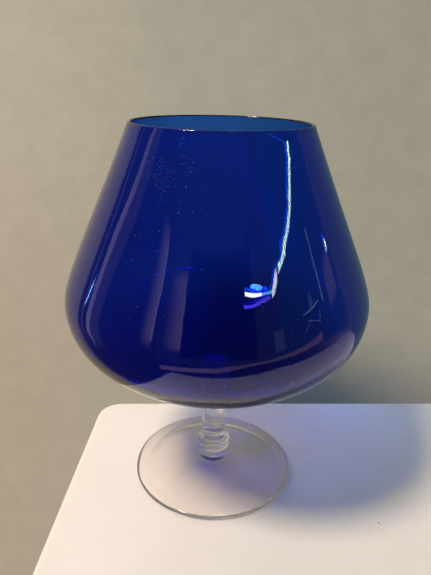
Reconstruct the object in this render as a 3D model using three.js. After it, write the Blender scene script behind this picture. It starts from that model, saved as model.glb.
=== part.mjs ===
// Footed brandy balloon in three pieces of hot-joined glass: a blown bowl, a drawn stem and a foot.
// Millimetres, +Z up. The origin is the centre of the plane that the foot stands on.
import * as THREE from "three";

// Bowl
const HEIGHT = 250; // standing plane to the top of the lip
const LIP_RADIUS = 55.3; // outside of the mouth
const LIP_LEAN = THREE.MathUtils.degToRad(22.5); // how far the wall under the lip leans in
const BELLY_RADIUS = 98.2; // widest part of the bowl
const BELLY_HEIGHT = 140.8;
const BOWL_BOTTOM = 84; // underside of the bowl, where the stem joins
const SHOULDER_PULL = 77; // curve handles: how long each stretch keeps its end direction
const BELLY_PULL_UP = 14;
const BELLY_PULL_DOWN = 36.8;
const BOTTOM_PULL = 46;
const LIP_WALL = 2; // wall thickness at the lip, the belly and the bottom
const BELLY_WALL = 2.4;
const BOTTOM_WALL = 6;

// Stem
const JOIN_RADIUS = 12; // where the stem meets the bowl
const WAIST_RADIUS = 8.1; // narrowest part of the shaft
const WAIST_HEIGHT = 54;
const SHAFT_RADIUS = 8.4;
const SHAFT_HEIGHT = 42;
const NECK_RADIUS = 9.3; // foot of the shaft, just above the knop
const NECK_HEIGHT = 29.5;
const KNOP_RADIUS = 12.1; // soft swelling low on the stem
const KNOP_HEIGHT = 22.8;
const PINCH_RADIUS = 10.6;
const PINCH_HEIGHT = 19;
const COLLAR_RADIUS = 12.2; // the stem's own base, where it meets the foot
const COLLAR_HEIGHT = 16.1;
const FOOT_CENTRE = 15; // top of the foot under the stem

// Foot
const FOOT_RADIUS = 57.3;
const FOOT_EDGE = 3.2; // thickness of the rounded edge
const REST_INNER = 48; // flat ring that the foot stands on
const HOLLOW_HEIGHT = 7.5; // how far the underside is dished at its centre

// Fineness
const BOWL_SIDES = 72;
const FOOT_SIDES = 60;
const STEM_SIDES = 36;
const CURVE_STEPS = 10; // steps along each bowl curve
const STEM_STEPS = 24;
const EDGE_STEPS = 5;
const TOP_STEPS = 8;
const HOLLOW_STEPS = 5;
const LIP_STEPS = 6;

const cobaltGlass = new THREE.MeshStandardMaterial({ color: "#0a1c67", roughness: 0.04, metalness: 0 });
const clearGlass = new THREE.MeshStandardMaterial({ color: "#d9d2c8", roughness: 0.04, metalness: 0 });

const point = (radius, height) => new THREE.Vector2(radius, height);

// Points along a curve, without its first one, so that stretches can be chained.
const stretch = (curve, steps) => curve.getPoints(steps).slice(1);

// Turns an outline of radius and height round the +Z axis.
function turned(outline, sides) {
  const solid = new THREE.LatheGeometry(outline, sides);
  solid.rotateX(Math.PI / 2);
  return solid;
}

// The outside of the bowl, from the stem join up to where the lip starts to turn over.
function bowlOutside() {
  const half = LIP_WALL / 2;
  const lipCentre = point(LIP_RADIUS - half, HEIGHT - half);
  const outward = point(Math.cos(LIP_LEAN), Math.sin(LIP_LEAN));
  const downward = point(outward.y, -outward.x);
  const lipStart = lipCentre.clone().addScaledVector(outward, half);
  const lower = new THREE.CubicBezierCurve(
    point(JOIN_RADIUS, BOWL_BOTTOM),
    point(JOIN_RADIUS + BOTTOM_PULL, BOWL_BOTTOM),
    point(BELLY_RADIUS, BELLY_HEIGHT - BELLY_PULL_DOWN),
    point(BELLY_RADIUS, BELLY_HEIGHT),
  );
  const upper = new THREE.CubicBezierCurve(
    point(BELLY_RADIUS, BELLY_HEIGHT),
    point(BELLY_RADIUS, BELLY_HEIGHT + BELLY_PULL_UP),
    lipStart.clone().addScaledVector(downward, SHOULDER_PULL),
    lipStart,
  );
  return { lower, upper, lipCentre };
}

// The wall is thickest at the bottom and thins towards the lip.
function wallAt(height) {
  const { mapLinear } = THREE.MathUtils;
  if (height > BELLY_HEIGHT) return mapLinear(height, BELLY_HEIGHT, HEIGHT, BELLY_WALL, LIP_WALL);
  const fall = mapLinear(height, BELLY_HEIGHT, BOWL_BOTTOM, 0, 1);
  return BELLY_WALL + (BOTTOM_WALL - BELLY_WALL) * fall ** 3;
}

// Points on the inside of the wall, opposite evenly spaced points of an outside curve.
function insideOf(curve) {
  const inside = [];
  for (let step = 0; step <= CURVE_STEPS; step += 1) {
    const along = step / CURVE_STEPS;
    const outer = curve.getPoint(along);
    const tangent = curve.getTangent(along);
    const inward = point(-tangent.y, tangent.x);
    inside.push(outer.clone().addScaledVector(inward, wallAt(outer.y)));
  }
  return inside;
}

// The lip's rounded top, from the outside of the wall over to the inside.
function lipArc(centre) {
  const arc = [];
  for (let step = 1; step < LIP_STEPS; step += 1) {
    const angle = LIP_LEAN + (Math.PI * step) / LIP_STEPS;
    const ray = point(Math.cos(angle), Math.sin(angle));
    arc.push(centre.clone().addScaledVector(ray, LIP_WALL / 2));
  }
  return arc;
}

function bowl() {
  const { lower, upper, lipCentre } = bowlOutside();
  const inside = [...insideOf(lower), ...insideOf(upper).slice(1)].reverse();
  const outline = [
    point(0, BOWL_BOTTOM),
    ...lower.getPoints(CURVE_STEPS),
    ...stretch(upper, CURVE_STEPS),
    ...lipArc(lipCentre),
    ...inside,
    point(0, BOWL_BOTTOM + BOTTOM_WALL),
  ];
  return turned(outline, BOWL_SIDES);
}

function stem() {
  const side = new THREE.SplineCurve([
    point(COLLAR_RADIUS, FOOT_CENTRE),
    point(COLLAR_RADIUS, COLLAR_HEIGHT),
    point(PINCH_RADIUS, PINCH_HEIGHT),
    point(KNOP_RADIUS, KNOP_HEIGHT),
    point(NECK_RADIUS, NECK_HEIGHT),
    point(SHAFT_RADIUS, SHAFT_HEIGHT),
    point(WAIST_RADIUS, WAIST_HEIGHT),
    point(JOIN_RADIUS, BOWL_BOTTOM),
  ]);
  return turned([point(0, FOOT_CENTRE), ...side.getPoints(STEM_STEPS), point(0, BOWL_BOTTOM)], STEM_SIDES);
}

function foot() {
  const half = FOOT_EDGE / 2;
  const edge = [];
  for (let step = 0; step <= EDGE_STEPS; step += 1) {
    const angle = -Math.PI / 2 + (Math.PI * step) / EDGE_STEPS;
    edge.push(point(FOOT_RADIUS - half + half * Math.cos(angle), half + half * Math.sin(angle)));
  }
  const top = new THREE.QuadraticBezierCurve(
    point(FOOT_RADIUS - half, FOOT_EDGE),
    point(COLLAR_RADIUS * 2, FOOT_EDGE * 2),
    point(COLLAR_RADIUS, FOOT_CENTRE),
  );
  const hollow = new THREE.QuadraticBezierCurve(
    point(0, HOLLOW_HEIGHT),
    point(REST_INNER / 2, HOLLOW_HEIGHT),
    point(REST_INNER, 0),
  );
  const outline = [
    ...hollow.getPoints(HOLLOW_STEPS),
    ...edge,
    ...stretch(top, TOP_STEPS),
    point(0, FOOT_CENTRE),
  ];
  return turned(outline, FOOT_SIDES);
}

// One named mesh for each piece of the glass.
function piece(name, geometry, material) {
  const mesh = new THREE.Mesh(geometry, material);
  mesh.name = name;
  return mesh;
}

const brandyBalloon = new THREE.Group();
brandyBalloon.add(piece("bowl", bowl(), cobaltGlass));
brandyBalloon.add(piece("stem", stem(), clearGlass));
brandyBalloon.add(piece("foot", foot(), clearGlass));

export default brandyBalloon;
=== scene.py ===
"""Looks of the cobalt-blue brandy balloon: bowl, stem and foot in hot-joined glass.

Metres, +Z up, origin at the centre of the plane that the foot stands on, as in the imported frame.
"""

import math

import bpy
from mathutils import Matrix, Vector


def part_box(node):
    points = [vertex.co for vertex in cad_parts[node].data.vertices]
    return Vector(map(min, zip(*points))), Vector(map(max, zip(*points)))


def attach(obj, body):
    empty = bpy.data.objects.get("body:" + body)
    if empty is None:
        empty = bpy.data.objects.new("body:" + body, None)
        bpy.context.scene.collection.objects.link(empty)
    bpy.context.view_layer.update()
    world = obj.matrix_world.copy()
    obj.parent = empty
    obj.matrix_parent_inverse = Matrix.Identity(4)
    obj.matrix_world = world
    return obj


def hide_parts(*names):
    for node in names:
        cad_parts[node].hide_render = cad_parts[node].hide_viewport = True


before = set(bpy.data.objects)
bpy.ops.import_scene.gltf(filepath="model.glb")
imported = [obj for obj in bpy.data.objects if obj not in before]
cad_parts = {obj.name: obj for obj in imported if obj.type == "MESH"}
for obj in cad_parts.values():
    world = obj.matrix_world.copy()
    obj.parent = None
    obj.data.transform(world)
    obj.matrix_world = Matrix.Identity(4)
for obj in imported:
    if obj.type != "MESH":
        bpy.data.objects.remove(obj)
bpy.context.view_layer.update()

MM = 0.001

# Sizes that the frame gives.
bowl_low, bowl_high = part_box("bowl")
_, stem_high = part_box("stem")
_, foot_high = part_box("foot")
HEIGHT = bowl_high.z
BOWL_BOTTOM = bowl_low.z
BELLY_RADIUS = bowl_high.x
FOOT_CENTRE = foot_high.z
FOOT_RADIUS = foot_high.x
COLLAR_RADIUS = stem_high.x

# The bowl's outline and wall, as in the CAD model.
LIP_RADIUS = 55.3 * MM
LIP_LEAN = math.radians(22.5)
BELLY_HEIGHT = 140.8 * MM
SHOULDER_PULL = 77 * MM
BELLY_PULL_UP = 14 * MM
BELLY_PULL_DOWN = 36.8 * MM
BOTTOM_PULL = 46 * MM
LIP_WALL = 2 * MM
BELLY_WALL = 2.4 * MM
BOTTOM_WALL = 6 * MM

# The stem's radii and heights, from its collar to the bowl. The pinch and the knop are a little
# higher and softer than in the CAD model.
JOIN_RADIUS = 12 * MM
STEM_KNOTS = (
    (COLLAR_RADIUS, FOOT_CENTRE),
    (12.15 * MM, 17 * MM),
    (11.75 * MM, 19.4 * MM),
    (11.1 * MM, 21 * MM),
    (12.1 * MM, 24 * MM),
    (9.3 * MM, 29.5 * MM),
    (8.4 * MM, 42 * MM),
    (8.1 * MM, 54 * MM),
    (JOIN_RADIUS, BOWL_BOTTOM),
)

# The foot: its edge's thickness, the inside of the ring it stands on and how far it is dished.
FOOT_EDGE = 3.2 * MM
REST_INNER = 48 * MM
HOLLOW_HEIGHT = 7.5 * MM

# Fineness of the round surfaces.
BOWL_SIDES = 192
FOOT_SIDES = 192
STEM_SIDES = 96
BOWL_STEPS = 44
LIP_STEPS = 18
STEM_STEPS = 140
TOP_STEPS = 30
EDGE_STEPS = 14
HOLLOW_STEPS = 24

# Hot-joined faces nearly touch: a ray has to meet one face and then the other. Between stem and
# foot, light passes straight on. Between bowl and stem both faces stay glass, because Cycles only
# ends the cobalt's absorption at a face of the same material.
JOIN_GAP = 0.05 * MM


# ---------------------------------------------------------------- outlines

def bezier(controls, steps):
    """Evenly spaced points of a Bezier curve through any number of control points."""
    degree = len(controls) - 1
    points = []
    for step in range(steps + 1):
        t = step / steps
        weights = [
            math.comb(degree, k) * t**k * (1 - t) ** (degree - k) for k in range(degree + 1)
        ]
        points.append(sum((w * c for w, c in zip(weights, controls)), Vector((0, 0))))
    return points


def spline(knots, steps):
    """Points of the smooth curve that passes through every knot."""
    points = []
    last = len(knots) - 1
    for step in range(steps + 1):
        along = last * step / steps
        index = min(int(along), last - 1)
        t = along - index
        before, start, end, after = (
            Vector(knots[min(max(index + shift, 0), last)]) for shift in (-1, 0, 1, 2)
        )
        pull_start = (end - before) / 2
        pull_end = (after - start) / 2
        points.append(
            (2 * start - 2 * end + pull_start + pull_end) * t**3
            + (3 * end - 3 * start - 2 * pull_start - pull_end) * t**2
            + pull_start * t
            + start
        )
    return points


def wall_at(height):
    """The wall is thickest at the bottom and thins towards the lip."""
    if height > BELLY_HEIGHT:
        rise = (height - BELLY_HEIGHT) / (HEIGHT - BELLY_HEIGHT)
        return BELLY_WALL + (LIP_WALL - BELLY_WALL) * rise
    fall = (BELLY_HEIGHT - height) / (BELLY_HEIGHT - BOWL_BOTTOM)
    return BELLY_WALL + (BOTTOM_WALL - BELLY_WALL) * fall**3


def inside_of(outside):
    """The inside of the wall, opposite each point of an outside outline."""
    inside = []
    for index, here in enumerate(outside):
        tangent = outside[min(index + 1, len(outside) - 1)] - outside[max(index - 1, 0)]
        inward = Vector((-tangent.y, tangent.x)).normalized()
        inside.append(here + inward * wall_at(here.y))
    return inside


def bowl_outline():
    """From the axis under the bowl, up its outside, over the lip and down its inside."""
    half = LIP_WALL / 2
    centre = Vector((LIP_RADIUS - half, HEIGHT - half))
    outward = Vector((math.cos(LIP_LEAN), math.sin(LIP_LEAN)))
    lip_start = centre + outward * half
    lower = bezier(
        [
            Vector((JOIN_RADIUS, BOWL_BOTTOM)),
            Vector((JOIN_RADIUS + BOTTOM_PULL, BOWL_BOTTOM)),
            Vector((BELLY_RADIUS, BELLY_HEIGHT - BELLY_PULL_DOWN)),
            Vector((BELLY_RADIUS, BELLY_HEIGHT)),
        ],
        BOWL_STEPS,
    )
    upper = bezier(
        [
            Vector((BELLY_RADIUS, BELLY_HEIGHT)),
            Vector((BELLY_RADIUS, BELLY_HEIGHT + BELLY_PULL_UP)),
            lip_start + Vector((outward.y, -outward.x)) * SHOULDER_PULL,
            lip_start,
        ],
        BOWL_STEPS,
    )
    outside = lower + upper[1:]
    lip = []
    for step in range(1, LIP_STEPS):
        angle = LIP_LEAN + math.pi * step / LIP_STEPS
        lip.append(centre + Vector((math.cos(angle), math.sin(angle))) * half)
    inside = inside_of(outside)[::-1]
    axis_bottom = [Vector((0, BOWL_BOTTOM))]
    axis_inside = [Vector((0, inside[-1].y))]
    return axis_bottom + outside + lip + inside + axis_inside


def stem_outline():
    """From the axis on the foot, up the side and back to the axis under the bowl."""
    side = spline(STEM_KNOTS, STEM_STEPS)
    side[0].y += JOIN_GAP
    side[-1].y -= JOIN_GAP
    return [Vector((0, side[0].y))] + side + [Vector((0, side[-1].y))]


def foot_outline():
    """From the axis in the hollow underneath, round the edge and up to the axis on top."""
    half = FOOT_EDGE / 2
    hollow = bezier(
        [
            Vector((0, HOLLOW_HEIGHT)),
            Vector((REST_INNER / 2, HOLLOW_HEIGHT)),
            Vector((REST_INNER, 0)),
        ],
        HOLLOW_STEPS,
    )
    edge = []
    for step in range(EDGE_STEPS + 1):
        angle = -math.pi / 2 + math.pi * step / EDGE_STEPS
        radius = FOOT_RADIUS - half + half * math.cos(angle)
        edge.append(Vector((radius, half + half * math.sin(angle))))
    top = bezier(
        [
            Vector((FOOT_RADIUS - half, FOOT_EDGE)),
            Vector((COLLAR_RADIUS * 2, FOOT_EDGE * 2)),
            Vector((COLLAR_RADIUS, FOOT_CENTRE)),
        ],
        TOP_STEPS,
    )
    return hollow + edge + top[1:] + [Vector((0, FOOT_CENTRE))]


# ---------------------------------------------------------------- unevenness

# The bowl's wall: how deep its waves are, between which heights above its bottom they come in, how
# far under the lip they calm and by how much. Each wave has a share, its turns round the bowl and
# over the glass's height, and where it starts.
BLOWN_WAVE = 0.14 * MM
BLOWN_FADE = (2 * MM, 22 * MM)
LIP_FADE = 20 * MM
LIP_CALM = 0.7
BLOWN_WAVES = ((0.5, 2, 1.1, 0.0), (0.3, 3, -2.3, 0.8), (0.2, 5, 3.7, 2.1))

# The shaft's rings: their depth and spacing, and the heights between which they come and go.
# Each wave has a share, its turns in one spacing and round the shaft, and where it starts.
TOOL_RING = 0.07 * MM
TOOL_RING_PITCH = 3.3 * MM
RINGS_START = (25 * MM, 31 * MM)
RINGS_END = (60 * MM, 72 * MM)
RING_WAVES = ((0.6, 1, 1, 0.0), (0.4, 1.7, -2, 0.6))


def eased(value, low, high):
    """0 at low and under, 1 at high and over, smooth between."""
    t = min(max((value - low) / (high - low), 0), 1)
    return t * t * (3 - 2 * t)


def blown_wave(angle, height):
    """Slow waves that blowing left in the bowl's wall. None by the stem, little at the lip."""
    turn = height / HEIGHT * 2 * math.pi
    wave = 0
    for share, around, upward, start in BLOWN_WAVES:
        wave += share * math.sin(around * angle + upward * turn + start)
    depth = BLOWN_WAVE * eased(height, BOWL_BOTTOM + BLOWN_FADE[0], BOWL_BOTTOM + BLOWN_FADE[1])
    depth *= 1 - LIP_CALM * eased(height, HEIGHT - LIP_FADE, HEIGHT)
    return depth * (1 + wave) / 2


def tool_rings(angle, height):
    """Fine, slightly slanting rings that the shaping tool left on the shaft."""
    turn = height / TOOL_RING_PITCH * 2 * math.pi
    wave = 0
    for share, upward, around, start in RING_WAVES:
        wave += share * math.sin(upward * turn + around * angle + start)
    depth = TOOL_RING * eased(height, *RINGS_START) * (1 - eased(height, *RINGS_END))
    return depth * (1 + wave) / 2


# ---------------------------------------------------------------- meshes

# A point of an outline that is closer to the axis than this is on it.
ON_AXIS = 1e-9


def turned(name, outline, sides, materials, joined=(), hard=(), sunk=None):
    """Turns an outline round the axis. It starts and ends on the axis.

    joined: which of the outline's stretches are joined faces, with the second material.
    hard: which of its points are hard rims.
    sunk: how far the surface falls inside the outline, by angle and height.
    """
    verts = []
    rings = []
    for point in outline:
        if point.x < ON_AXIS:
            rings.append([len(verts)])
            verts.append((0, 0, point.y))
            continue
        rings.append(list(range(len(verts), len(verts) + sides)))
        for side in range(sides):
            angle = 2 * math.pi * side / sides
            radius = point.x - (sunk(angle, point.y) if sunk else 0)
            verts.append((radius * math.cos(angle), radius * math.sin(angle), point.y))
    faces = []
    slots = []
    for stretch, (low, high) in enumerate(zip(rings, rings[1:])):
        for side in range(sides):
            after = (side + 1) % sides
            if len(low) == 1:
                faces.append((low[0], high[after], high[side]))
            elif len(high) == 1:
                faces.append((low[side], low[after], high[0]))
            else:
                faces.append((low[side], low[after], high[after], high[side]))
            slots.append(1 if stretch in joined else 0)
    mesh = bpy.data.meshes.new(name)
    mesh.from_pydata(verts, [], faces)
    for material in materials:
        mesh.materials.append(material)
    for face, slot in zip(mesh.polygons, slots):
        face.material_index = slot
        face.use_smooth = True
    hard_verts = {vert for point in hard for vert in rings[point]}
    for edge in mesh.edges:
        if edge.vertices[0] in hard_verts and edge.vertices[1] in hard_verts:
            edge.use_edge_sharp = True
    mesh.validate()
    piece = bpy.data.objects.new(name, mesh)
    bpy.context.scene.collection.objects.link(piece)
    return piece


# ---------------------------------------------------------------- node helpers

def node(tree, kind, **settings):
    """A new node with these properties set."""
    made = tree.nodes.new(kind)
    for key, value in settings.items():
        setattr(made, key, value)
    return made


def feed(tree, socket, value):
    """Links a socket to another node's output, or sets its plain value."""
    if isinstance(value, bpy.types.NodeSocket):
        tree.links.new(value, socket)
    else:
        socket.default_value = value


def maths(tree, operation, *values):
    """The result of a Math node."""
    made = node(tree, "ShaderNodeMath", operation=operation)
    for socket, value in zip(made.inputs, values):
        feed(tree, socket, value)
    return made.outputs[0]


def ramp(tree, value, low, high, start=0.0, end=1.0):
    """A smooth step from start, at low and under, to end, at high and over."""
    made = node(tree, "ShaderNodeMapRange", interpolation_type="SMOOTHSTEP")
    names = ("From Min", "From Max", "To Min", "To Max")
    for name, number in zip(names, (low, high, start, end)):
        made.inputs[name].default_value = number
    tree.links.new(value, made.inputs["Value"])
    return made.outputs["Result"]


def band(tree, value, low, high, soft):
    """1 between low and high, 0 outside, with soft edges."""
    up = ramp(tree, value, low - soft, low + soft)
    down = ramp(tree, value, high - soft, high + soft, 1.0, 0.0)
    return maths(tree, "MULTIPLY", up, down)


def blend(tree, factor, under, over):
    """The colour under at factor 0, over at factor 1. Each is a socket or red, green and blue."""
    made = node(tree, "ShaderNodeMix", data_type="RGBA")
    feed(tree, made.inputs["Factor"], factor)
    first, second = (socket for socket in made.inputs if socket.type == "RGBA")
    for socket, colour in ((first, under), (second, over)):
        feed(tree, socket, colour if isinstance(colour, bpy.types.NodeSocket) else (*colour, 1))
    return next(socket for socket in made.outputs if socket.type == "RGBA")


def noise(tree, place, size, detail=3.0, rough=0.5):
    """Soft noise around 0.5, with features of about this size."""
    made = node(tree, "ShaderNodeTexNoise")
    tree.links.new(place, made.inputs["Vector"])
    made.inputs["Scale"].default_value = 1 / size
    made.inputs["Detail"].default_value = detail
    made.inputs["Roughness"].default_value = rough
    return made.outputs["Fac"]


def specks(tree, place, spacing, size, share):
    """1 in scattered round specks: a share of the cells of this spacing have one."""
    cells = node(tree, "ShaderNodeTexVoronoi")
    tree.links.new(place, cells.inputs["Vector"])
    cells.inputs["Scale"].default_value = 1 / spacing
    drawn = node(tree, "ShaderNodeSeparateColor")
    tree.links.new(cells.outputs["Color"], drawn.inputs[0])
    reach = size / spacing
    radius = maths(tree, "MULTIPLY_ADD", drawn.outputs[1], 0.7 * reach, 0.3 * reach)
    inside = maths(tree, "SUBTRACT", radius, cells.outputs["Distance"])
    shape = ramp(tree, inside, 0.0, 0.25 * reach)
    chosen = maths(tree, "LESS_THAN", drawn.outputs[0], share)
    return maths(tree, "MULTIPLY", shape, chosen)


def object_place(tree):
    """Where on the object, in metres."""
    return node(tree, "ShaderNodeTexCoord").outputs["Object"]


# ---------------------------------------------------------------- materials

GLASS_IOR = 1.52

# Each glass's tint at its surface, clean and under dust.
COBALT_TINT = (0.45, 0.62, 1.0)
COBALT_DUSTY = (0.8, 0.86, 0.97)
CLEAR_TINT = (0.975, 0.975, 0.97)
CLEAR_DUSTY = (0.9, 0.9, 0.9)

# What the cobalt glass lets through along the way, and how densely it absorbs the rest.
COBALT_CLEAR = (0.017, 0.53, 0.898, 1)
COBALT_DENSITY = 1250

# Dust specks: their spacing, their size, and the share of places that have one.
SPARSE_DUST = (4.5 * MM, 0.55 * MM, 0.5)
FINE_DUST = (0.85 * MM, 0.3 * MM, 0.8)
DUST_ROUGHNESS = 0.7
DUST_HEIGHT = 0.25

# Where handling left the fine dust, on the front of the bowl to the left.
DUSTY_PLACE = (-26 * MM, -58 * MM, 230 * MM)
DUSTY_REACH = 27 * MM
DUSTY_BREAKS = 9 * MM

# Finger smears and the slow ripple of hand-made glass.
SMEAR_SIZE = 30 * MM
SMEAR_ROUGHNESS = 0.035
RIPPLE_SIZE = 22 * MM
RIPPLE_DEPTH = 0.12 * MM


def new_material(name):
    """A material with no nodes yet, and its node tree."""
    material = bpy.data.materials.new(name)
    material.use_nodes = True
    material.node_tree.nodes.clear()
    return material, material.node_tree


def absorb(tree, output, colour, density):
    """Fills the material with even absorption."""
    volume = node(tree, "ShaderNodeVolumeAbsorption")
    volume.inputs["Color"].default_value = colour
    volume.inputs["Density"].default_value = density
    tree.links.new(volume.outputs[0], output.inputs["Volume"])


def glass(tree, output):
    """A glass shader that nothing dresses yet."""
    shader = node(tree, "ShaderNodeBsdfPrincipled")
    shader.inputs["Transmission Weight"].default_value = 1
    shader.inputs["IOR"].default_value = GLASS_IOR
    tree.links.new(shader.outputs[0], output.inputs["Surface"])
    return shader


def dress(tree, shader, place, dust, tint, dusty_tint):
    """Dresses glass with dust, faint finger smears and a hand-made ripple."""
    tree.links.new(blend(tree, dust, tint, dusty_tint), shader.inputs["Base Color"])
    greasy = noise(tree, place, SMEAR_SIZE, 4.0, 0.6)
    smear = ramp(tree, greasy, 0.56, 0.74, 0.0, SMEAR_ROUGHNESS)
    rough = maths(tree, "MAXIMUM", smear, maths(tree, "MULTIPLY", dust, DUST_ROUGHNESS))
    tree.links.new(rough, shader.inputs["Roughness"])
    ripple = maths(tree, "MULTIPLY_ADD", dust, DUST_HEIGHT, noise(tree, place, RIPPLE_SIZE, 1.0))
    bump = node(tree, "ShaderNodeBump")
    bump.inputs["Distance"].default_value = RIPPLE_DEPTH
    tree.links.new(ripple, bump.inputs["Height"])
    tree.links.new(bump.outputs[0], shader.inputs["Normal"])


def joined_face(name):
    """The inside face of a hot join, where light passes straight on."""
    material, tree = new_material(name)
    output = node(tree, "ShaderNodeOutputMaterial")
    clear = node(tree, "ShaderNodeBsdfTransparent")
    tree.links.new(clear.outputs[0], output.inputs["Surface"])
    return material


def cobalt_glass():
    """Blue glass with sparse dust all over and a patch of fine dust near the lip."""
    material, tree = new_material("cobalt_glass")
    output = node(tree, "ShaderNodeOutputMaterial")
    place = object_place(tree)
    away = node(tree, "ShaderNodeVectorMath", operation="DISTANCE")
    tree.links.new(place, away.inputs[0])
    away.inputs[1].default_value = DUSTY_PLACE
    patch = ramp(tree, away.outputs["Value"], 0.3 * DUSTY_REACH, DUSTY_REACH, 1.0, 0.0)
    broken = ramp(tree, noise(tree, place, DUSTY_BREAKS), 0.42, 0.6)
    patch = maths(tree, "MULTIPLY", patch, broken)
    fine = maths(tree, "MULTIPLY", specks(tree, place, *FINE_DUST), patch)
    dust = maths(tree, "MAXIMUM", specks(tree, place, *SPARSE_DUST), fine)
    dress(tree, glass(tree, output), place, dust, COBALT_TINT, COBALT_DUSTY)
    absorb(tree, output, COBALT_CLEAR, COBALT_DENSITY)
    return material


def clear_glass():
    """Clear glass with sparse dust."""
    material, tree = new_material("clear_glass")
    output = node(tree, "ShaderNodeOutputMaterial")
    place = object_place(tree)
    dust = specks(tree, place, *SPARSE_DUST)
    dress(tree, glass(tree, output), place, dust, CLEAR_TINT, CLEAR_DUSTY)
    return material


# ---------------------------------------------------------------- the glass

clear = clear_glass()
clear_join = joined_face("clear_join")

bowl = turned("bowl_blown", bowl_outline(), BOWL_SIDES, [cobalt_glass()], sunk=blown_wave)
stem_points = stem_outline()
stem = turned(
    "stem_drawn",
    stem_points,
    STEM_SIDES,
    [clear, clear_join],
    joined={0},
    hard={1, len(stem_points) - 2},
    sunk=tool_rings,
)
foot_points = foot_outline()
foot = turned(
    "foot_disc",
    foot_points,
    FOOT_SIDES,
    [clear, clear_join],
    joined={len(foot_points) - 2},
    hard={HOLLOW_STEPS, len(foot_points) - 2},
)
for piece, stands_for, finish in (
    (bowl, "bowl", "cobalt_glass"),
    (stem, "stem", "clear_glass"),
    (foot, "foot", "clear_glass"),
):
    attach(piece, "root")
    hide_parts(stands_for)


# ---------------------------------------------------------------- table

# The corners of the slab, back right first and then round by the left. Its top is a hair under the
# standing plane, so that a film of air stays between the foot and the paint.
TABLE_CORNERS = ((0.62, 0.11), (-0.1, 0.0765), (-0.109, -0.222), (0.17, -0.225), (0.62, 0.0))
TABLE_TOP = -0.15 * MM
TABLE_THICKNESS = 30 * MM
CORNER_REACH = 20 * MM
CORNER_STEPS = 10
EDGE_ROUNDING = 3 * MM

# The paint, where it is worn and where it is whole, and the crumbs on it.
PAINT_WORN = (0.80, 0.785, 0.755)
PAINT_WHOLE = (0.835, 0.82, 0.795)
WORN_SIZE = 60 * MM
CRUMB = (0.5, 0.46, 0.42)
CRUMBS = (26 * MM, 1 * MM, 0.5)
SHEEN_SIZE = 25 * MM
SHEEN_ROUGHNESS = (0.38, 0.5)
PEEL_SIZE = 2.5 * MM
PEEL_DEPTH = 0.06 * MM


def table_material():
    """Satin paint, a little worn, with an orange-peel surface and a few crumbs."""
    material, tree = new_material("painted_table")
    output = node(tree, "ShaderNodeOutputMaterial")
    shader = node(tree, "ShaderNodeBsdfPrincipled")
    place = object_place(tree)
    whole = ramp(tree, noise(tree, place, WORN_SIZE, 4.0, 0.6), 0.3, 0.7)
    paint = blend(tree, whole, PAINT_WORN, PAINT_WHOLE)
    crumbs = specks(tree, place, *CRUMBS)
    tree.links.new(blend(tree, crumbs, paint, CRUMB), shader.inputs["Base Color"])
    rough = ramp(tree, noise(tree, place, SHEEN_SIZE), 0.3, 0.7, *SHEEN_ROUGHNESS)
    tree.links.new(rough, shader.inputs["Roughness"])
    bump = node(tree, "ShaderNodeBump")
    bump.inputs["Distance"].default_value = PEEL_DEPTH
    tree.links.new(noise(tree, place, PEEL_SIZE, 2.0), bump.inputs["Height"])
    tree.links.new(bump.outputs[0], shader.inputs["Normal"])
    tree.links.new(shader.outputs[0], output.inputs["Surface"])
    return material


def table():
    """A pale slab with rounded corners."""
    corners = [Vector(corner) for corner in TABLE_CORNERS]
    outline = []
    for index, corner in enumerate(corners):
        before = (corners[index - 1] - corner).normalized() * CORNER_REACH
        after = (corners[(index + 1) % len(corners)] - corner).normalized() * CORNER_REACH
        outline += bezier([corner + before, corner, corner + after], CORNER_STEPS)
    count = len(outline)
    levels = (TABLE_TOP - TABLE_THICKNESS, TABLE_TOP)
    verts = [(point.x, point.y, level) for level in levels for point in outline]
    faces = [tuple(range(count - 1, -1, -1)), tuple(range(count, 2 * count))]
    for index in range(count):
        onward = (index + 1) % count
        faces.append((index, onward, count + onward, count + index))
    mesh = bpy.data.meshes.new("table")
    mesh.from_pydata(verts, [], faces)
    mesh.materials.append(table_material())
    slab = bpy.data.objects.new("table", mesh)
    bpy.context.scene.collection.objects.link(slab)
    rounding = slab.modifiers.new("rounded_edge", "BEVEL")
    rounding.width = EDGE_ROUNDING
    rounding.segments = 4
    return slab


table()


# ---------------------------------------------------------------- room

# The World holds three things: the backdrop behind the glass, the room that the glass mirrors, and
# the even light that matt surfaces get. The room is painted by direction: azimuth in degrees from
# the camera's side, positive to the right, and elevation in degrees. A patch is given by its colour
# and by its first and last azimuth and elevation.
AMBIENT = (0.14, 0.19, 0.2)
DEGREES = 180 / math.pi


def layer(tree, colour, under, azimuth, elevation, soft):
    """Paints one soft-edged patch over what is there."""
    across = band(tree, room_azimuth, azimuth[0], azimuth[1], soft)
    upward = band(tree, room_elevation, elevation[0], elevation[1], soft)
    return blend(tree, maths(tree, "MULTIPLY", across, upward), under, colour)


def drape(tree, colour, under, azimuth, elevation, soft):
    """A patch that fades in from its left and its foot and ends sharply at its right."""
    across = maths(
        tree,
        "MULTIPLY",
        ramp(tree, room_azimuth, azimuth[0], azimuth[1]),
        ramp(tree, room_azimuth, azimuth[1] - 0.5, azimuth[1] + 0.5, 1.0, 0.0),
    )
    upward = maths(
        tree,
        "MULTIPLY",
        ramp(tree, room_elevation, elevation[0], elevation[0] + 2 * soft),
        ramp(tree, room_elevation, elevation[1] - 1, elevation[1] + 1, 1.0, 0.0),
    )
    return blend(tree, maths(tree, "MULTIPLY", across, upward), under, colour)


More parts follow.
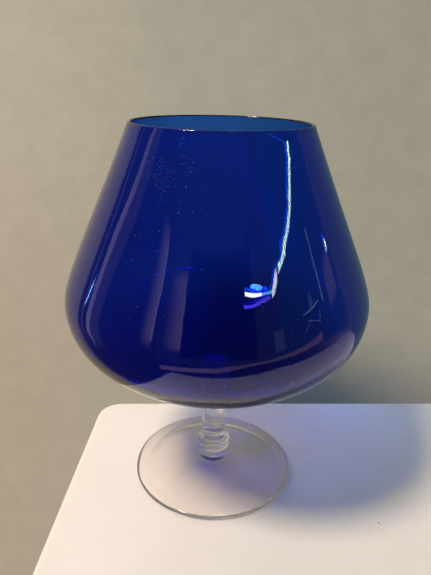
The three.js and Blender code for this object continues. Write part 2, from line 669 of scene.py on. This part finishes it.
def strip(tree, under, azimuth, elevation, half_height, colour):
    """A straight strip between two directions."""
    slope = (elevation[1] - elevation[0]) / (azimuth[1] - azimuth[0])
    onward = maths(tree, "SUBTRACT", room_azimuth, float(azimuth[0]))
    centre = maths(tree, "ADD", maths(tree, "MULTIPLY", onward, slope), float(elevation[0]))
    away = maths(tree, "ABSOLUTE", maths(tree, "SUBTRACT", room_elevation, centre))
    height = ramp(tree, away, half_height * 0.7, half_height * 1.3, 1.0, 0.0)
    run = band(tree, room_azimuth, azimuth[0], azimuth[1], 0.5)
    return blend(tree, maths(tree, "MULTIPLY", height, run), under, colour)


world = bpy.data.worlds.new("room")
bpy.context.scene.world = world
world.use_nodes = True
tree = world.node_tree
tree.nodes.clear()
direction = node(tree, "ShaderNodeTexCoord").outputs["Generated"]
split = node(tree, "ShaderNodeSeparateXYZ")
tree.links.new(direction, split.inputs[0])
x, y, z = split.outputs
toward = maths(tree, "MULTIPLY", y, -1.0)
room_azimuth = maths(tree, "MULTIPLY", maths(tree, "ARCTAN2", x, toward), DEGREES)
room_elevation = maths(tree, "MULTIPLY", maths(tree, "ARCSINE", z), DEGREES)

# The backdrop: a warm grey plaster wall with painted lamplight, lighter to the left and higher up,
# and painted soft shadows low on the right.
lit_wall = blend(tree, ramp(tree, room_elevation, -36, 6), (0.435, 0.345, 0.25), (0.49, 0.42, 0.33))
backdrop = blend(tree, ramp(tree, x, -0.42, 0.02), lit_wall, (0.375, 0.34, 0.262))
backdrop = blend(tree, ramp(tree, x, 0.0, 0.36), backdrop, (0.322, 0.296, 0.232))
# A painted shadow of the bowl on the wall behind it.
bowl_shadow_on_wall = maths(
    tree,
    "MULTIPLY",
    ramp(tree, room_elevation, -25.0, -16.0, 0.9, 0.0),
    band(tree, x, -0.03, 0.2, 0.05),
)
backdrop = blend(tree, bowl_shadow_on_wall, backdrop, (0.14, 0.135, 0.12))
low_shadow = maths(
    tree,
    "MULTIPLY",
    ramp(tree, room_elevation, -34.0, -23.0, 1.0, 0.0),
    maths(tree, "MULTIPLY", ramp(tree, x, -0.05, 0.14), ramp(tree, x, 0.2, 0.42, 1.0, 0.5)),
)
backdrop = blend(tree, low_shadow, backdrop, (0.06, 0.08, 0.11))
plaster = ramp(tree, noise(tree, direction, 0.035, 4.0, 0.6), 0.3, 0.7, 0.965, 1.03)
plastered = node(tree, "ShaderNodeVectorMath", operation="SCALE")
tree.links.new(backdrop, plastered.inputs[0])
tree.links.new(plaster, plastered.inputs["Scale"])
backdrop = plastered.outputs[0]

# The room that reflections show. First its plain sides: dim in front, the backdrop behind, and a
# bluish wall to the right and a dark one to the left.
room = blend(tree, ramp(tree, y, -0.35, 0.1), (0.075, 0.09, 0.1), backdrop)
room = layer(tree, (0.12, 0.175, 0.2), room, (106, 170), (-60, 60), 6)
room = layer(tree, (0.05, 0.13, 0.2), room, (45, 106), (-10, 60), 3)
room = layer(tree, (0.06, 0.06, 0.07), room, (-114, -41), (-60, 60), 1.5)

# Far to the left, a thin pale edge and two panels that lean right at the top, one bright, one dim.
room = layer(tree, (0.25, 0.22, 0.25), room, (-109, -107), (-60, 60), 0.5)
leaning = maths(tree, "SUBTRACT", room_azimuth, ramp(tree, room_elevation, 8, 26, 0.0, 9.0))
room = blend(tree, band(tree, leaning, -102, -97.5, 0.6), room, (0.85, 0.68, 0.68))
room = blend(tree, band(tree, leaning, -97.5, -88, 1.0), room, (0.2, 0.17, 0.2))

# In front to the left, two soft drapes, each with a bright edge at its right.
room = drape(tree, (0.8, 0.66, 0.66), room, (-54, -44), (-10, 27), 9.0)
room = layer(tree, (1.2, 0.95, 0.9), room, (-44.6, -43.4), (2, 26), 0.5)
room = drape(tree, (0.75, 0.56, 0.6), room, (-38, -24), (-8, 25), 6.0)
room = layer(tree, (0.9, 0.7, 0.7), room, (-24.6, -23.6), (-2, 22), 0.4)

# The darkest part, round the camera.
room = layer(tree, (0.025, 0.025, 0.03), room, (-23, 28), (-14, 29), 1.0)

# To the right, a thin bright edge, a pale panel, a door, a small lamp and a window pane.
room = layer(tree, (1.2, 1.3, 1.5), room, (83.2, 84), (8, 18), 0.2)
room = layer(tree, (0.35, 0.33, 0.42), room, (90, 101), (5, 11), 1)
room = layer(tree, (0.25, 0.3, 0.36), room, (40, 47), (-6, 10), 0.6)
room = layer(tree, (14, 18, 20), room, (100.8, 102.3), (10.05, 10.7), 0.3)
room = layer(tree, (0.3, 0.45, 0.75), room, (71, 74), (10.8, 13.2), 0.4)

# Dark low down, in front and at the sides.
around = maths(tree, "ABSOLUTE", room_azimuth)
low_room = maths(
    tree,
    "MULTIPLY",
    ramp(tree, room_elevation, -36, -16, 1.0, 0.0),
    ramp(tree, around, 106, 128, 1.0, 0.0),
)
room = blend(tree, low_room, room, (0.05, 0.04, 0.035))

# Above to the right, daylight through slanting blinds, a tube light and two strips beside it.
slant = maths(tree, "ADD", room_azimuth, room_elevation)
blinds = maths(tree, "SINE", maths(tree, "MULTIPLY", slant, 4.2))
daylight = blend(tree, ramp(tree, blinds, -0.9, 0.3), (0.8, 2.2, 2.8), (15.0, 22.0, 18.0))
tube = blend(tree, ramp(tree, room_azimuth, 34.5, 35.5), (22.0, 24.0, 25.0), (1.5, 6.0, 12.0))
room = strip(tree, room, (50.4, 87), (22.1, 25.3), 0.5, daylight)
room = strip(tree, room, (22, 44), (23.0, 20.9), 0.28, tube)
room = strip(tree, room, (43, 48.8), (20.4, 22.0), 0.7, (12.0, 12.5, 13.0))
room = strip(tree, room, (20, 41), (21.1, 20.2), 0.4, (1.4, 0.7, 11.0))

# Lower on the right, the lines of a window frame.
room = strip(tree, room, (65, 79), (11.0, 10.0), 0.2, (1.2, 1.6, 2.3))
room = strip(tree, room, (68, 77), (8.0, 5.0), 0.2, (0.8, 1.1, 1.6))
room = strip(tree, room, (77, 79), (5.0, 8.0), 0.3, (0.8, 1.1, 1.6))
room = strip(tree, room, (63, 70), (3.0, 8.0), 0.25, (0.6, 0.8, 1.2))

# Low in front, a broad pale edge that rises to the right, and one short highlight far to the left.
room = strip(tree, room, (-42, 2), (-37.0, -36.0), 3.0, (0.8, 0.52, 0.55))
room = strip(tree, room, (2, 77), (-36.0, -4.0), 3.6, (0.62, 0.42, 0.5))
room = strip(tree, room, (-107.2, -104.4), (-4.0, 3.5), 1.1, (3.0, 7.5, 9.0))

# Rays mirrored once see the room, and rays mirrored again an even mix of room and backdrop.
path = node(tree, "ShaderNodeLightPath")
mirrored_once = maths(tree, "GREATER_THAN", path.outputs["Glossy Depth"], 0.5)
mirrored_again = maths(tree, "GREATER_THAN", path.outputs["Glossy Depth"], 1.5)
reflected = maths(tree, "MULTIPLY_ADD", mirrored_again, -0.5, mirrored_once)
shown = blend(tree, reflected, backdrop, room)
shown = blend(tree, path.outputs["Is Diffuse Ray"], shown, AMBIENT)
background = node(tree, "ShaderNodeBackground")
tree.links.new(shown, background.inputs["Color"])
tree.links.new(background.outputs[0], node(tree, "ShaderNodeOutputWorld").inputs["Surface"])


# ---------------------------------------------------------------- lights

def soft_light(name, place, target, size, power, colour):
    """A round lamp of this size in metres and this power in watts, turned to its target."""
    data = bpy.data.lights.new(name, "AREA")
    data.shape = "DISK"
    data.size = size
    data.energy = power
    data.color = colour
    lamp = bpy.data.objects.new(name, data)
    lamp.location = place
    lamp.rotation_euler = (Vector(target) - Vector(place)).to_track_quat("-Z", "Y").to_euler()
    lamp.visible_camera = False
    bpy.context.scene.collection.objects.link(lamp)
    return lamp


# The key lamp is high in front to the left. Two weak ones fill from the right and from behind.
soft_light(
    "key",
    place=(-1.09, -0.69, 2.1),
    target=(0, 0, 0.12),
    size=0.55,
    power=56,
    colour=(1.0, 0.81, 0.665),
)
fill = soft_light(
    "fill",
    place=(0.6, -0.8, 0.9),
    target=(0, 0, 0.1),
    size=0.7,
    power=1.2,
    colour=(0.8, 0.9, 1.0),
)
bounce = soft_light(
    "wall_bounce",
    place=(-0.35, 0.45, 0.35),
    target=(0, 0, 0),
    size=0.5,
    power=1.6,
    colour=(1.0, 0.88, 0.76),
)

# The two weak lamps would show as discs in the glass.
for lamp in (fill, bounce):
    lamp.visible_glossy = False
    lamp.visible_transmission = False


# ---------------------------------------------------------------- camera

CAMERA_PLACE = Vector((0, -0.3305, 0.2764))
CAMERA_DOWN = math.radians(21.79)
CAMERA_TURN = math.radians(-0.19)
CAMERA_ROLL = math.radians(1.39)
LENS_MM = 33.54
SENSOR_MM = 36

forward = Vector(
    (
        math.sin(CAMERA_TURN) * math.cos(CAMERA_DOWN),
        math.cos(CAMERA_TURN) * math.cos(CAMERA_DOWN),
        -math.sin(CAMERA_DOWN),
    )
)
level_right = Vector((math.cos(CAMERA_TURN), -math.sin(CAMERA_TURN), 0))
level_up = level_right.cross(forward)
right = math.cos(CAMERA_ROLL) * level_right + math.sin(CAMERA_ROLL) * level_up
up = right.cross(forward)
lens = bpy.data.cameras.new("camera")
lens.lens = LENS_MM
lens.sensor_width = SENSOR_MM
lens.clip_start = 0.01
camera = bpy.data.objects.new("camera", lens)
bpy.context.scene.collection.objects.link(camera)
turn = Matrix((right, up, -forward)).transposed().to_4x4()
camera.matrix_world = Matrix.Translation(CAMERA_PLACE) @ turn
bpy.context.scene.camera = camera

bpy.context.scene.view_settings.view_transform = "Standard"

# Light has to cross many faces of the glass at its full strength.
cycles = bpy.context.scene.cycles
cycles.blur_glossy = 0
cycles.sample_clamp_indirect = 0
cycles.max_bounces = 24
cycles.glossy_bounces = 16
cycles.transmission_bounces = 24
